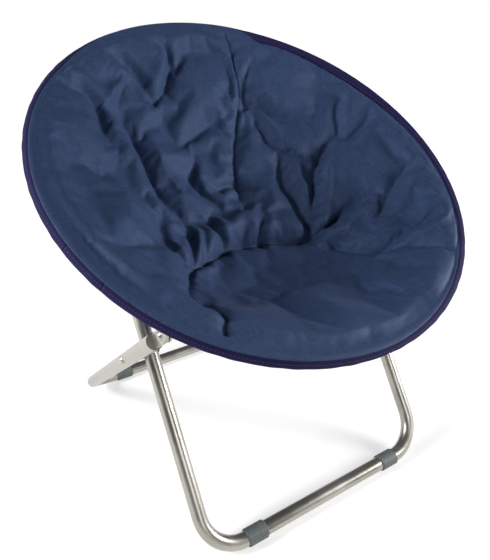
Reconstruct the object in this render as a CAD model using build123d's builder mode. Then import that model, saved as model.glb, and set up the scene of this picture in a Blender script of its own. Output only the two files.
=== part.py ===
"""Folding saucer chair: a padded bowl seat on a hinged ring of tube, over two crossed U-shaped legs.

The ring lies in its own tilted plane. Places on it are given as (x, s, n): x to the right,
s up the slope towards the back, n square to the ring plane and upwards.
Origin on the floor under the ring's centre, front of the chair towards -Y, millimetres.
"""

import os
from math import asin, atan2, cos, degrees, exp, hypot, radians, sin, sqrt

from build123d import *

os.makedirs("parts", exist_ok=True)

# --- driving dimensions -------------------------------------------------------------------
RING_RADIUS = 367.0  # centreline of the seat ring
RING_TUBE_D = 19.0
RING_TUBE_WALL = 1.2
RING_HEIGHT = 580.0  # centre of the ring above the floor
RING_TILT = 31.2  # degrees, back edge up
HINGE_FORWARD = 129.0  # fold line of the ring, in front of its centre

LEG_TUBE_D = 25.0
LEG_TUBE_WALL = 1.2
LEG_BEND_RADIUS = 66.0
FRONT_LEG_INSET = 127.0  # the front leg's uprights stand this far inside the ring's radius
LEG_GAP = 13.0  # between the front and rear leg tubes where they cross
FRONT_BAR_Y = -241.0
REAR_BAR_Y = 276.0
BACK_PIVOT_DROP = 25.5  # pivot of the front leg, below the ring plane
FRONT_PIVOT_DROP = 28.0  # pivot of the rear leg, below the ring plane
LEG_END_SETBACK = 45.0  # leg tube stops this far short of its pivot

TONGUE_THICKNESS = 5.0
TONGUE_HALF_WIDTH = 10.5
PLUG_LENGTH = 25.0
COLLAR_THICKNESS = 1.5
EAR_THICKNESS = 3.0
EAR_RADIUS = 11.0
BRACKET_WEB = 2.5  # plate between the ears, under the ring tube

RIVET_RADIUS = 4.0
RIVET_HEAD_RADIUS = 7.0
RIVET_HEAD_HEIGHT = 2.5
RIVET_HEAD_TAPER = 40.0  # degrees
SPACER_RADIUS = 9.0

HINGE_PLATE_THICKNESS = 3.0
HINGE_STANDOFF = 27.0  # ring tube stops this far from the fold line
HINGE_STRAIGHT = 9.0  # straight part of a plate beside the pin
HINGE_INSERT = 15.0  # length of plate inside the tube
HINGE_PIN_RADIUS = 3.0
HINGE_HEAD_RADIUS = 6.0
HINGE_HEAD_HEIGHT = 2.0

FOOT_HEIGHT = 14.5  # axis of the floor bars above the floor
FOOT_RADIUS = 15.0
FOOT_LENGTH = 40.0
FOOT_TAPER = 2.5

HEM_THICKNESS = 2.2  # sewn sleeve and binding round the ring tube
HEM_END = 34.0  # hem halves stop this far from the fold line
BOWL_DEPTH = 155.0
BOWL_CENTRE_S = -60.0  # deepest place, in front of the ring's centre
PAD_THICKNESS = 18.0
SHEET_THICKNESS = 4.0  # of the cover where it is creased flat
PAD_TOP = 7.0  # upper face of the filling at the rim, above the ring plane
PAD_CROWN = 5.0  # rise of the filling in the middle
ROLL_HEIGHT = 11.0  # mean height of the full roll inside the rim
ROLL_SWING = 8.0  # how much fuller it is at the front left, and flatter across from there
ROLL_FULLEST = -118.0  # degrees, counted from the ring's +X side
ROLL_RADIUS = 345.0  # of its crest
ROLL_WIDTH = 19.0
FORM_RADIUS = 367.0  # ring radius for which the cover's seams and folds are laid out
SEAM_WIDTH = 15.0
SEAM_DEPTH = 13.0
FOLD_WIDTH = 15.0
PAD_LINES = 31  # each way, to draw the upper face of the cover
FLOOR_LINES = 17  # each way, to draw its smooth lower face

# --- clearances ---------------------------------------------------------------------------
RUNNING_CLEARANCE = 0.05  # pin in its hole, on the radius
SEAT_CLEARANCE = 0.1  # plug in a tube, bracket on a tube, sleeve on a bar
SIDE_CLEARANCE = 0.5  # beside a flat end that turns
SOFT_CLEARANCE = 0.3  # cloth against what it lies on
HINGE_SIDE_CLEARANCE = 0.2
CUT_CLEARANCE = 1.0  # hem opening round a bracket

# --- worked out from them -----------------------------------------------------------------
tilt = radians(RING_TILT)
RING = Plane(origin=(0, 0, RING_HEIGHT), x_dir=(1, 0, 0), z_dir=(0, -sin(tilt), cos(tilt)))
ring_tube_r = RING_TUBE_D / 2
leg_r = LEG_TUBE_D / 2
front_leg_half_width = RING_RADIUS - FRONT_LEG_INSET
rear_leg_half_width = front_leg_half_width + LEG_TUBE_D + LEG_GAP
hem_inner_r = ring_tube_r + SOFT_CLEARANCE
hem_outer_r = hem_inner_r + HEM_THICKNESS
pad_radius = RING_RADIUS - hem_outer_r - SOFT_CLEARANCE
hinge_s = -HINGE_FORWARD
ear_offset = TONGUE_THICKNESS / 2 + SIDE_CLEARANCE + EAR_THICKNESS / 2
bracket_half_x = ear_offset + EAR_THICKNESS / 2
web_depth = ring_tube_r / 3  # the brackets' top, below the ring plane
opening_half_x = bracket_half_x + CUT_CLEARANCE
opening_half_s = EAR_RADIUS + CUT_CLEARANCE
hole_r = RIVET_RADIUS + RUNNING_CLEARANCE
SIDES = {"left": -1, "right": 1}


def ring_point(x, s, n):
    """A place given on the ring plane, as a point in space."""
    return RING.from_local_coords(Vector(x, s, n))


def centre_x(s):
    """Half width of the ring's centreline at distance s up the slope."""
    return sqrt(RING_RADIUS**2 - s**2)


def arc_angle(s):
    """Angle on the ring, from its +X side, of the centreline at s, in degrees."""
    return degrees(asin(s / RING_RADIUS))


# The legs meet the ring right under its tube.
front_pivot = ring_point(0, -centre_x(rear_leg_half_width), -FRONT_PIVOT_DROP)
back_pivot = ring_point(0, centre_x(front_leg_half_width), -BACK_PIVOT_DROP)
front_bar = Vector(0, FRONT_BAR_Y, FOOT_HEIGHT)
rear_bar = Vector(0, REAR_BAR_Y, FOOT_HEIGHT)
front_leg_up = (back_pivot - front_bar).normalized()
rear_leg_up = (front_pivot - rear_bar).normalized()
front_leg_length = (back_pivot - front_bar).length
rear_leg_length = (front_pivot - rear_bar).length


def crossing():
    """Place in the side view where the two leg lines cross: the scissor pivot."""
    apart = rear_bar - front_bar
    turn = front_leg_up.Y * rear_leg_up.Z - front_leg_up.Z * rear_leg_up.Y
    along = (apart.Y * rear_leg_up.Z - apart.Z * rear_leg_up.Y) / turn
    return front_bar + front_leg_up * along


scissor_pivot = crossing()
print("scissor pivot y, z:", round(scissor_pivot.Y, 2), round(scissor_pivot.Z, 2))
print("front pivot y, z:", round(front_pivot.Y, 2), round(front_pivot.Z, 2))
print("back pivot y, z:", round(back_pivot.Y, 2), round(back_pivot.Z, 2))
hinge_centre = ring_point(0, hinge_s, 0)
print("fold line y, z:", round(hinge_centre.Y, 2), round(hinge_centre.Z, 2))


def save(piece, label):
    """Names a finished piece and writes its file."""
    piece.part.label = label
    export_step(piece.part, f"parts/{label}.step")


def across(point, x):
    """Plane square to X at x, its own origin at point's y and z, x_dir up the ring's slope."""
    return Plane(origin=(x, point.Y, point.Z), x_dir=RING.y_dir, z_dir=(1, 0, 0))


# --- seat ring: two bent tubes --------------------------------------------------------------
def ring_tube(from_angle, to_angle, outer_r, inner_r, openings=()):
    """Arc of tube round the ring's centreline, between two angles in degrees."""
    outward = RING.x_dir * cos(radians(from_angle)) + RING.y_dir * sin(radians(from_angle))
    section = Plane(
        origin=RING.origin + outward * RING_RADIUS,
        x_dir=outward,
        z_dir=RING.z_dir.cross(outward),
    )
    with BuildPart() as tube:
        with BuildSketch(section):
            Circle(outer_r)
            Circle(inner_r, mode=Mode.SUBTRACT)
        revolve(axis=Axis(RING.origin, RING.z_dir), revolution_arc=to_angle - from_angle)
        for place in openings:
            with BuildSketch(RING.offset(-2 * outer_r)):
                with Locations(place):
                    Rectangle(2 * opening_half_x, 2 * opening_half_s)
            extrude(amount=2 * outer_r - web_depth + CUT_CLEARANCE, mode=Mode.SUBTRACT)
    return tube


ring_tube_inner_r = ring_tube_r - RING_TUBE_WALL
front_end_angle = arc_angle(hinge_s - HINGE_STANDOFF)
back_end_angle = arc_angle(hinge_s + HINGE_STANDOFF)

ring_back_tube = ring_tube(back_end_angle, 180 - back_end_angle, ring_tube_r, ring_tube_inner_r)
save(ring_back_tube, "ring_back_tube")
ring_front_tube = ring_tube(
    180 - front_end_angle, 360 + front_end_angle, ring_tube_r, ring_tube_inner_r
)
save(ring_front_tube, "ring_front_tube")

# --- ring hinges: lapped plates plugged into the tube ends, one rivet each side ------------------
hinge_x = centre_x(hinge_s)
hinge_lap = (HINGE_PLATE_THICKNESS + HINGE_SIDE_CLEARANCE) / 2
plate_half_height = (
    sqrt(ring_tube_inner_r**2 - (HINGE_PLATE_THICKNESS / 2) ** 2) - SOFT_CLEARANCE
)


def hinge_plate(side, way, x):
    """Plate from the pin into a tube end; way is -1 towards the front, 1 towards the back."""
    tip_s = hinge_s - way * plate_half_height
    bend_s = hinge_s + way * HINGE_STRAIGHT
    mouth_s = hinge_s + way * HINGE_STANDOFF
    inside_s = mouth_s + way * HINGE_INSERT
    with BuildPart() as plate:
        with BuildSketch(RING):
            with BuildLine():
                Polyline(
                    (side * x, tip_s),
                    (side * x, bend_s),
                    (side * centre_x(mouth_s), mouth_s),
                    (side * centre_x(inside_s), inside_s),
                )
            trace(line_width=HINGE_PLATE_THICKNESS)
        extrude(amount=plate_half_height, both=True)
        tip = plate.faces().sort_by(Axis(ring_point(0, hinge_s, 0), RING.y_dir * -way))[-1]
        fillet(tip.edges().filter_by(Axis.X), radius=plate_half_height - SOFT_CLEARANCE)
        with BuildSketch(across(hinge_centre, side * x)):
            Circle(HINGE_PIN_RADIUS + RUNNING_CLEARANCE)
        extrude(amount=HINGE_PLATE_THICKNESS, both=True, mode=Mode.SUBTRACT)
    return plate


def rivet(plane, half_length, shank_r, head_r, head_height, half_gap=0):
    """Rivet along the plane's normal with a tapered head at each end, open in its middle if asked."""
    with BuildPart() as pin:
        with BuildSketch(plane):
            Circle(shank_r)
        extrude(amount=half_length, both=True)
        for end in (-1, 1):
            with BuildSketch(plane.offset(end * half_length)):
                Circle(head_r)
            extrude(amount=end * head_height, taper=RIVET_HEAD_TAPER)
        if half_gap:
            with BuildSketch(plane):
                Circle(head_r)
            extrude(amount=half_gap, both=True, mode=Mode.SUBTRACT)
    return pin


for name, side in SIDES.items():
    save(hinge_plate(side, -1, hinge_x - hinge_lap), f"hinge_plate_front_{name}")
    save(hinge_plate(side, 1, hinge_x + hinge_lap), f"hinge_plate_back_{name}")
    hinge_rivet = rivet(
        across(hinge_centre, side * hinge_x),
        hinge_lap + HINGE_PLATE_THICKNESS / 2 + SEAT_CLEARANCE,
        HINGE_PIN_RADIUS,
        HINGE_HEAD_RADIUS,
        HINGE_HEAD_HEIGHT,
    )
    save(hinge_rivet, f"hinge_rivet_{name}")


# --- legs: two U-shaped tubes, crossed at the scissor pivot -------------------------------------
def leg(bar, up, half_width, length):
    """U-shaped tube standing on its bar, drilled across for the scissor rivets."""
    face = Plane(origin=bar, x_dir=(1, 0, 0), z_dir=Vector(1, 0, 0).cross(up))
    top = length - LEG_END_SETBACK
    with BuildPart() as tube:
        with BuildLine(face) as path:
            FilletPolyline(
                (-half_width, top),
                (-half_width, 0),
                (half_width, 0),
                (half_width, top),
                radius=LEG_BEND_RADIUS,
            )
        with BuildSketch(Plane(origin=path.line @ 0, x_dir=(1, 0, 0), z_dir=path.line % 0)):
            Circle(leg_r)
            Circle(leg_r - LEG_TUBE_WALL, mode=Mode.SUBTRACT)
        sweep()
        with BuildSketch(across(scissor_pivot, 0)):
            Circle(hole_r)
        extrude(amount=half_width + LEG_TUBE_D, both=True, mode=Mode.SUBTRACT)
    return tube


front_leg_tube = leg(front_bar, front_leg_up, front_leg_half_width, front_leg_length)
save(front_leg_tube, "front_leg_tube")
rear_leg_tube = leg(rear_bar, rear_leg_up, rear_leg_half_width, rear_leg_length)
save(rear_leg_tube, "rear_leg_tube")


# --- leg ends: steel plug with a flat tongue, drilled for the bracket rivet ------------------------
def leg_end(pivot, up, x):
    """Plug in the top of a leg tube, with its tongue reaching to the pivot."""
    mouth = Vector(x, pivot.Y, pivot.Z) - up * LEG_END_SETBACK
    shoulder = Plane(origin=mouth + up * SEAT_CLEARANCE, x_dir=(1, 0, 0), z_dir=up)
    with BuildPart() as end:
        with BuildSketch(shoulder):
            Circle(leg_r - LEG_TUBE_WALL - SEAT_CLEARANCE)
        extrude(amount=-PLUG_LENGTH)
        with BuildSketch(shoulder):
            Circle(leg_r)
        extrude(amount=COLLAR_THICKNESS)
        with BuildSketch(Plane(origin=(x, pivot.Y, pivot.Z), x_dir=up, z_dir=(1, 0, 0))):
            Circle(TONGUE_HALF_WIDTH)
            with Locations((-LEG_END_SETBACK / 2, 0)):
                Rectangle(LEG_END_SETBACK, 2 * TONGUE_HALF_WIDTH)
            Circle(hole_r, mode=Mode.SUBTRACT)
        extrude(amount=TONGUE_THICKNESS / 2, both=True)
    return end


for name, side in SIDES.items():
    front_leg_end = leg_end(back_pivot, front_leg_up, side * front_leg_half_width)
    save(front_leg_end, f"front_leg_end_{name}")
    rear_leg_end = leg_end(front_pivot, rear_leg_up, side * rear_leg_half_width)
    save(rear_leg_end, f"rear_leg_end_{name}")


# --- ring brackets: folded steel clevises welded under the ring tube --------------------------------
def bracket(pivot, x, drop):
    """Two ears and a web, saddled to the ring tube above the pivot."""
    web_low = drop - ring_tube_r - BRACKET_WEB
    web_high = drop - web_depth
    with BuildPart() as clevis:
        for ear in (-1, 1):
            with BuildSketch(across(pivot, x + ear * ear_offset)):
                Circle(EAR_RADIUS)
                with Locations((0, web_high / 2)):
                    Rectangle(2 * EAR_RADIUS, web_high)
            extrude(amount=EAR_THICKNESS / 2, both=True)
        with BuildSketch(across(pivot, x)):
            with Locations((0, (web_low + web_high) / 2)):
                Rectangle(2 * EAR_RADIUS, web_high - web_low)
        extrude(amount=ear_offset, both=True)
        with BuildSketch(across(pivot, x)):
            Circle(hole_r)
        extrude(amount=bracket_half_x + 1, both=True, mode=Mode.SUBTRACT)
        with Locations(RING):
            Torus(RING_RADIUS, ring_tube_r + SEAT_CLEARANCE, mode=Mode.SUBTRACT)
    return clevis


rivet_half_length = bracket_half_x + SEAT_CLEARANCE
for name, side in SIDES.items():
    x_front = side * rear_leg_half_width
    x_back = side * front_leg_half_width
    save(bracket(front_pivot, x_front, FRONT_PIVOT_DROP), f"seat_bracket_{name}")
    save(bracket(back_pivot, x_back, BACK_PIVOT_DROP), f"back_bracket_{name}")
    seat_rivet = rivet(
        across(front_pivot, x_front),
        rivet_half_length,
        RIVET_RADIUS,
        RIVET_HEAD_RADIUS,
        RIVET_HEAD_HEIGHT,
    )
    save(seat_rivet, f"seat_bracket_rivet_{name}")
    # The rivet of the back bracket stops at the tongue's faces, one half in each ear.
    back_rivet = rivet(
        across(back_pivot, x_back),
        rivet_half_length,
        RIVET_RADIUS,
        RIVET_HEAD_RADIUS,
        RIVET_HEAD_HEIGHT,
        TONGUE_THICKNESS / 2 + SIDE_CLEARANCE,
    )
    save(back_rivet, f"back_bracket_rivet_{name}")

# --- scissor pivots: a rivet through both tubes, with a nylon spacer between them --------------------
inner_face = front_leg_half_width - leg_r
outer_face = rear_leg_half_width + leg_r
spacer_from = front_leg_half_width + leg_r + SOFT_CLEARANCE
spacer_to = rear_leg_half_width - leg_r - SEAT_CLEARANCE
for name, side in SIDES.items():
    scissor_rivet = rivet(
        across(scissor_pivot, side * (inner_face + outer_face) / 2),
        (outer_face - inner_face) / 2 + SOFT_CLEARANCE,
        RIVET_RADIUS,
        RIVET_HEAD_RADIUS,
        RIVET_HEAD_HEIGHT,
    )
    save(scissor_rivet, f"scissor_rivet_{name}")
    with BuildPart() as spacer:
        with BuildSketch(across(scissor_pivot, side * spacer_from)):
            Circle(SPACER_RADIUS)
            Circle(hole_r, mode=Mode.SUBTRACT)
        extrude(amount=side * (spacer_to - spacer_from))
    save(spacer, f"scissor_spacer_{name}")


# --- feet: plastic sleeves on the floor bars, each against the start of a bend ------------------------
def foot(bar, x):
    """Sleeve round the bar with tapered ends, flat where it meets the floor."""
    bore = leg_r + SEAT_CLEARANCE
    half = FOOT_LENGTH / 2
    with BuildPart() as sleeve:
        with BuildSketch(Plane(origin=(x, bar.Y, bar.Z), x_dir=(1, 0, 0), z_dir=(0, -1, 0))):
            Polygon(
                (-half, bore),
                (-half, bore + SEAT_CLEARANCE),
                (-half + FOOT_TAPER, FOOT_RADIUS),
                (half - FOOT_TAPER, FOOT_RADIUS),
                (half, bore + SEAT_CLEARANCE),
                (half, bore),
                align=None,
            )
        revolve(axis=Axis((x, bar.Y, bar.Z), (1, 0, 0)))
        split(bisect_by=Plane.XY, keep=Keep.TOP)
    return sleeve


for name, side in SIDES.items():
    front_foot_x = front_leg_half_width - LEG_BEND_RADIUS - FOOT_LENGTH / 2
    rear_foot_x = rear_leg_half_width - LEG_BEND_RADIUS - FOOT_LENGTH / 2
    save(foot(front_bar, side * front_foot_x), f"front_foot_{name}")
    save(foot(rear_bar, side * rear_foot_x), f"rear_foot_{name}")

# --- hem: sewn sleeve of the cover round the ring tube, open under it at the brackets ------------------
front_hem_angle = arc_angle(hinge_s - HEM_END)
back_hem_angle = arc_angle(hinge_s + HEM_END)
front_opening_s = -centre_x(rear_leg_half_width)
back_opening_s = centre_x(front_leg_half_width)
hem_front = ring_tube(
    180 - front_hem_angle,
    360 + front_hem_angle,
    hem_outer_r,
    hem_inner_r,
    [(-rear_leg_half_width, front_opening_s), (rear_leg_half_width, front_opening_s)],
)
save(hem_front, "hem_front")
hem_back = ring_tube(
    back_hem_angle,
    180 - back_hem_angle,
    hem_outer_r,
    hem_inner_r,
    [(-front_leg_half_width, back_opening_s), (front_leg_half_width, back_opening_s)],
)
save(hem_back, "hem_back")

# The hem goes on over each hinge, as a short soft sleeve that bends with it.
hem_gap = degrees(SOFT_CLEARANCE / RING_RADIUS)
for name, side in SIDES.items():
    first = front_hem_angle + hem_gap
    last = back_hem_angle - hem_gap
    if side < 0:
        first, last = 180 - last, 180 - first
    save(ring_tube(first, last, hem_outer_r, hem_inner_r), f"hem_over_hinge_{name}")


# --- cover: padded bowl, in two pads that meet on the fold line ------------------------------------------
def bowl_depth(x, s):
    """Depth of the bowl's middle sheet below the ring plane, with its deepest place off centre."""
    away = s - BOWL_CENTRE_S
    distance = max(hypot(x, away), 1e-6)
    slope = BOWL_CENTRE_S * away / distance
    rim = sqrt(slope**2 + pad_radius**2 - BOWL_CENTRE_S**2) - slope
    share = 1 - (distance / rim) ** 2
    return BOWL_DEPTH * share * (0.88 + 0.12 * share)


def distance_to_path(x, s, path):
    """Distance from a place to a line of straight runs, and the share of its length there."""
    best = 1e9
    for (x1, s1), (x2, s2) in zip(path, path[1:]):
        run = hypot(x2 - x1, s2 - s1)
        along = ((x - x1) * (x2 - x1) + (s - s1) * (s2 - s1)) / run**2
        along = min(max(along, 0.0), 1.0)
        best = min(best, hypot(x - x1 - along * (x2 - x1), s - s1 - along * (s2 - s1)))
    return best


# Seam between the seat panel and the back panel, from rim to rim.
seat_seam = [
    (-229, -312),
    (-203, -246),
    (-212, -186),
    (-163, -122),
    (-95, -88),
    (-31, -74),
    (37, -83),
    (99, -111),
    (140, -175),
    (204, -231),
    (226, -292),
]
# Main folds of the slack cloth: the path of each and its depth, below 0 for a ridge.
main_folds = [
    ([(-280, 235), (-222, 203), (-221, 148)], 10),
    ([(-203, 205), (-162, 152), (-154, 70), (-122, 2)], 13),
    ([(-129, 287), (-97, 232), (-42, 310)], 7),
    ([(100, 296), (96, 230), (67, 165), (28, 60)], 9),
    ([(-62, 100), (-55, 45)], 8),
    ([(104, 204), (152, 164), (128, 108)], 9),
    ([(135, 96), (123, 39), (112, -96)], 13),
    ([(246, 74), (187, 28), (138, -58)], 13),
    ([(334, -58), (259, -101), (222, -128)], 9),
    ([(250, -84), (181, -80), (125, -100)], 12),
    ([(-126, -14), (-158, -112)], 9),
    ([(-245, 189), (-246, 80)], -5),
    ([(-192, 145), (-168, 60), (-158, 5)], -5),
    ([(-278, 60), (-196, -33), (-160, -112)], -8),
    ([(-251, -134), (-208, -200)], -7),
]
# Soft swell of the filling: centre, half width and height.
swells = [
    ((-262, -100), 75, 15),
    ((-275, 10), 60, 14),
    ((-240, 140), 55, 11),
    ((-190, 40), 45, 8),
    ((-120, 120), 55, 6),
    ((0, 255), 70, 17),
    ((150, 190), 50, 9),
    ((225, 215), 50, 8),
    ((262, 30), 65, 18),
    ((180, 90), 42, 10),
    ((200, -30), 42, 12),
    ((60, 20), 50, 3),
    ((-10, -40), 40, 7),
    ((-70, 60), 40, 4),
    ((0, -230), 80, 7),
    ((-160, -265), 60, 13),
    ((150, -280), 45, 6),
    ((190, -140), 40, 13),
]


def pad_height(x, s):
    """Upper face of the padded cover above the ring plane, level outside the crest of its roll."""
    radius = max(hypot(x, s), 1e-6)
    inward = min(1.0, roll_radius / radius)
    x, s = x * inward, s * inward
    radius *= inward
    height = PAD_TOP - bowl_depth(x, s) + PAD_CROWN * (1 - (radius / roll_radius) ** 4)
    roll = ROLL_HEIGHT + ROLL_SWING * cos(atan2(s, x) - radians(ROLL_FULLEST))
    height += roll * exp(-(((radius - roll_radius) / ROLL_WIDTH) ** 2))
    form_x, form_s = x / form_scale, s / form_scale
    sunk = SEAM_DEPTH * exp(-((distance_to_path(form_x, form_s, seat_seam) / SEAM_WIDTH) ** 2))
    for path, depth in main_folds:
        sunk += depth * exp(-((distance_to_path(form_x, form_s, path) / FOLD_WIDTH) ** 2))
    # Where folds meet they don't add up to more than the filling gives.
    height -= fold_limit * (1 - exp(-sunk / fold_limit))
    for (swell_x, swell_s), width, rise in swells:
        height += rise * exp(-((hypot(form_x - swell_x, form_s - swell_s) / width) ** 2))
    return height


def pad_floor(x, s):
    """Lower face of the padded cover, which hangs smooth."""
    return PAD_TOP - PAD_THICKNESS - bowl_depth(x, s)


def sheet(height, count):
    """Smooth face through curves drawn both ways over a square, at the heights that a formula gives."""
    spacing = 2 * RING_RADIUS / (count - 1)
    lines = [-RING_RADIUS + i * spacing for i in range(count)]
    across_curves = [Spline(*[ring_point(x, s, height(x, s)) for x in lines]) for s in lines]
    upward_curves = [Spline(*[ring_point(x, s, height(x, s)) for s in lines]) for x in lines]
    return Face.make_gordon_surface(across_curves, upward_curves)


form_scale = RING_RADIUS / FORM_RADIUS
roll_radius = ROLL_RADIUS * form_scale
fold_limit = PAD_THICKNESS - SHEET_THICKNESS
upper_face = sheet(pad_height, PAD_LINES)
lower_face = sheet(pad_floor, FLOOR_LINES)
reach = 2 * (BOWL_DEPTH + RING_RADIUS)
for name, way in {"seat_pad": -1, "back_pad": 1}.items():
    fold_origin = ring_point(0, hinge_s + way * SOFT_CLEARANCE, 0)
    with BuildPart() as pad:
        with BuildSketch(RING.offset(-reach / 2)):
            Circle(pad_radius)
        extrude(amount=reach)
        split(bisect_by=Plane(origin=fold_origin, z_dir=RING.y_dir * way), keep=Keep.TOP)
        extrude(upper_face, amount=reach, dir=RING.z_dir * -1, mode=Mode.INTERSECT)
        extrude(lower_face, amount=reach, dir=RING.z_dir, mode=Mode.INTERSECT)
    save(pad, name)
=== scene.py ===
"""Looks of the folding saucer chair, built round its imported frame. Metres, front towards -Y."""

import math

import bmesh
import bpy
import numpy as np
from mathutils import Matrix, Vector


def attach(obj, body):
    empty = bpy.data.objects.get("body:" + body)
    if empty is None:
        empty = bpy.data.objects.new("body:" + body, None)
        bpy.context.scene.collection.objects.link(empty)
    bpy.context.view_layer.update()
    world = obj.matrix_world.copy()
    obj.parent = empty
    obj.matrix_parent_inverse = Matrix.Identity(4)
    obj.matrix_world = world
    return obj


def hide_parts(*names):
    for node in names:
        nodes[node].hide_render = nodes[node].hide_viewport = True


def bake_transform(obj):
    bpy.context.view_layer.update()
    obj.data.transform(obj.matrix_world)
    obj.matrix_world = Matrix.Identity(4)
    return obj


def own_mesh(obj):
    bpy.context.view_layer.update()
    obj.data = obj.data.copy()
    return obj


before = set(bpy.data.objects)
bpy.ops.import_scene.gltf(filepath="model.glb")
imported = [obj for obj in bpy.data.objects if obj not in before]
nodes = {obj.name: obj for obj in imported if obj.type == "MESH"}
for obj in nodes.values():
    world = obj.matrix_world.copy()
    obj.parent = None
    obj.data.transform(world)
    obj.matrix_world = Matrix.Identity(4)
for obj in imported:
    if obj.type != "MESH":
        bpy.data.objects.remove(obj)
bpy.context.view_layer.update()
scene = bpy.context.scene
scene.view_settings.view_transform = "Standard"

# --- Camera -------------------------------------------------------------------------------------
# Looks down on the chair from its front left, as the photograph does. The small shift frames it
# as there.
camera_data = bpy.data.cameras.new("camera")
camera = bpy.data.objects.new("camera", camera_data)
scene.collection.objects.link(camera)
camera.location = (-0.4922, -0.6976, 0.8105)
aim = Vector((-0.0796, 0.0, 0.4037)) - camera.location
camera.rotation_euler = aim.to_track_quat("-Z", "Y").to_euler()
camera_data.sensor_width = 36.0
camera_data.lens = 509.17 / 560 * 36.0
camera_data.shift_x = 0.0430
camera_data.shift_y = -0.0308
camera_data.clip_start = 0.01
camera_data.clip_end = 100.0
scene.camera = camera

# --- Floor --------------------------------------------------------------------------------------
# A wide matt white floor that keeps the soft shadow under the legs. Its brightness comes from what
# the camera and glossy rays see, so it adds no light to the chair.
floor_mesh = bpy.data.meshes.new("floor")
floor_mesh.from_pydata([(-20, -20, 0), (20, -20, 0), (20, 20, 0), (-20, 20, 0)], [], [(0, 1, 2, 3)])
floor = bpy.data.objects.new("floor", floor_mesh)
scene.collection.objects.link(floor)

floor_material = bpy.data.materials.new("floor_white")
floor_material.use_nodes = True
tree = floor_material.node_tree
surface = tree.nodes["Principled BSDF"]
surface.inputs["Base Color"].default_value = (0.6, 0.6, 0.6, 1)
surface.inputs["Roughness"].default_value = 0.9
light_path = tree.nodes.new("ShaderNodeLightPath")
seen = tree.nodes.new("ShaderNodeMath")
seen.operation = "MAXIMUM"
tree.links.new(light_path.outputs["Is Camera Ray"], seen.inputs[0])
tree.links.new(light_path.outputs["Is Glossy Ray"], seen.inputs[1])
place = tree.nodes.new("ShaderNodeTexCoord")
away = tree.nodes.new("ShaderNodeVectorMath")
away.operation = "LENGTH"
tree.links.new(place.outputs["Object"], away.inputs[0])
fade = tree.nodes.new("ShaderNodeMapRange")
fade.inputs["From Min"].default_value = 0.6
fade.inputs["From Max"].default_value = 2.4
fade.inputs["To Min"].default_value = 0.5
fade.inputs["To Max"].default_value = 1.0
tree.links.new(away.outputs["Value"], fade.inputs["Value"])
glow = tree.nodes.new("ShaderNodeMath")
glow.operation = "MULTIPLY"
tree.links.new(fade.outputs["Result"], glow.inputs[1])
tree.links.new(seen.outputs[0], glow.inputs[0])
surface.inputs["Emission Color"].default_value = (1, 1, 1, 1)
tree.links.new(glow.outputs[0], surface.inputs["Emission Strength"])
floor.data.materials.append(floor_material)

# --- Studio light -------------------------------------------------------------------------------
# Pale surroundings, with low soft boxes at the right front and the left back and a weak one at the
# front. They stand low, so the folds of the cover keep their shade.
world = bpy.data.worlds.new("studio")
scene.world = world
world.use_nodes = True
tree = world.node_tree
background = tree.nodes["Background"]
background.inputs["Color"].default_value = (1, 1, 1, 1)
light_path = tree.nodes.new("ShaderNodeLightPath")
level = tree.nodes.new("ShaderNodeMapRange")
level.inputs["To Min"].default_value = 0.05
level.inputs["To Max"].default_value = 1.0
tree.links.new(light_path.outputs["Is Camera Ray"], level.inputs["Value"])
tree.links.new(level.outputs["Result"], background.inputs["Strength"])


def soft_box(name, place, target, size, power):
    """Square area lamp that faces a target."""
    lamp = bpy.data.lights.new(name, "AREA")
    lamp.shape = "SQUARE"
    lamp.size = size
    lamp.energy = power
    holder = bpy.data.objects.new(name, lamp)
    holder.location = place
    holder.rotation_euler = (Vector(target) - Vector(place)).to_track_quat("-Z", "Y").to_euler()
    scene.collection.objects.link(holder)


soft_box("right_light", (1.9, -1.3, 1.0), (0, 0, 0.5), 0.8, 60)
soft_box("left_light", (-2.0, 0.5, 1.4), (0, 0, 0.5), 0.8, 64)
soft_box("front_light", (-0.3, -2.4, 1.1), (0, 0, 0.5), 1.0, 12)

# --- Tubes --------------------------------------------------------------------------------------
# The two legs and the two halves of the ring are round steel tube, bent to shape and painted a warm
# metallic silver with a fine grain and faint clouds.


def new_group(name, outputs):
    """Node group with no inputs, its output node and the outputs' sockets."""
    group = bpy.data.node_groups.new(name, "ShaderNodeTree")
    for label, kind in outputs:
        group.interface.new_socket(label, in_out="OUTPUT", socket_type=kind)
    return group, group.nodes.new("NodeGroupOutput")


metal_group, out = new_group("metal_grain", [
    ("Color", "NodeSocketColor"),
    ("Roughness", "NodeSocketFloat"),
    ("Height", "NodeSocketFloat"),
])
tree = metal_group
place = tree.nodes.new("ShaderNodeTexCoord")
cloud = tree.nodes.new("ShaderNodeTexNoise")
cloud.inputs["Scale"].default_value = 14
cloud.inputs["Detail"].default_value = 4
grain = tree.nodes.new("ShaderNodeTexNoise")
grain.inputs["Scale"].default_value = 1400
grain.inputs["Detail"].default_value = 3
tree.links.new(place.outputs["Object"], cloud.inputs["Vector"])
tree.links.new(place.outputs["Object"], grain.inputs["Vector"])
tint = tree.nodes.new("ShaderNodeValToRGB")
tint.color_ramp.elements[0].position = 0.3
tint.color_ramp.elements[0].color = (0.36, 0.345, 0.30, 1)
tint.color_ramp.elements[1].position = 0.72
tint.color_ramp.elements[1].color = (0.47, 0.455, 0.41, 1)
tree.links.new(cloud.outputs["Fac"], tint.inputs["Fac"])
tree.links.new(tint.outputs["Color"], out.inputs["Color"])
gloss = tree.nodes.new("ShaderNodeMapRange")
gloss.inputs["From Min"].default_value = 0.3
gloss.inputs["From Max"].default_value = 0.7
gloss.inputs["To Min"].default_value = 0.27
gloss.inputs["To Max"].default_value = 0.38
tree.links.new(cloud.outputs["Fac"], gloss.inputs["Value"])
tree.links.new(gloss.outputs["Result"], out.inputs["Roughness"])
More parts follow.
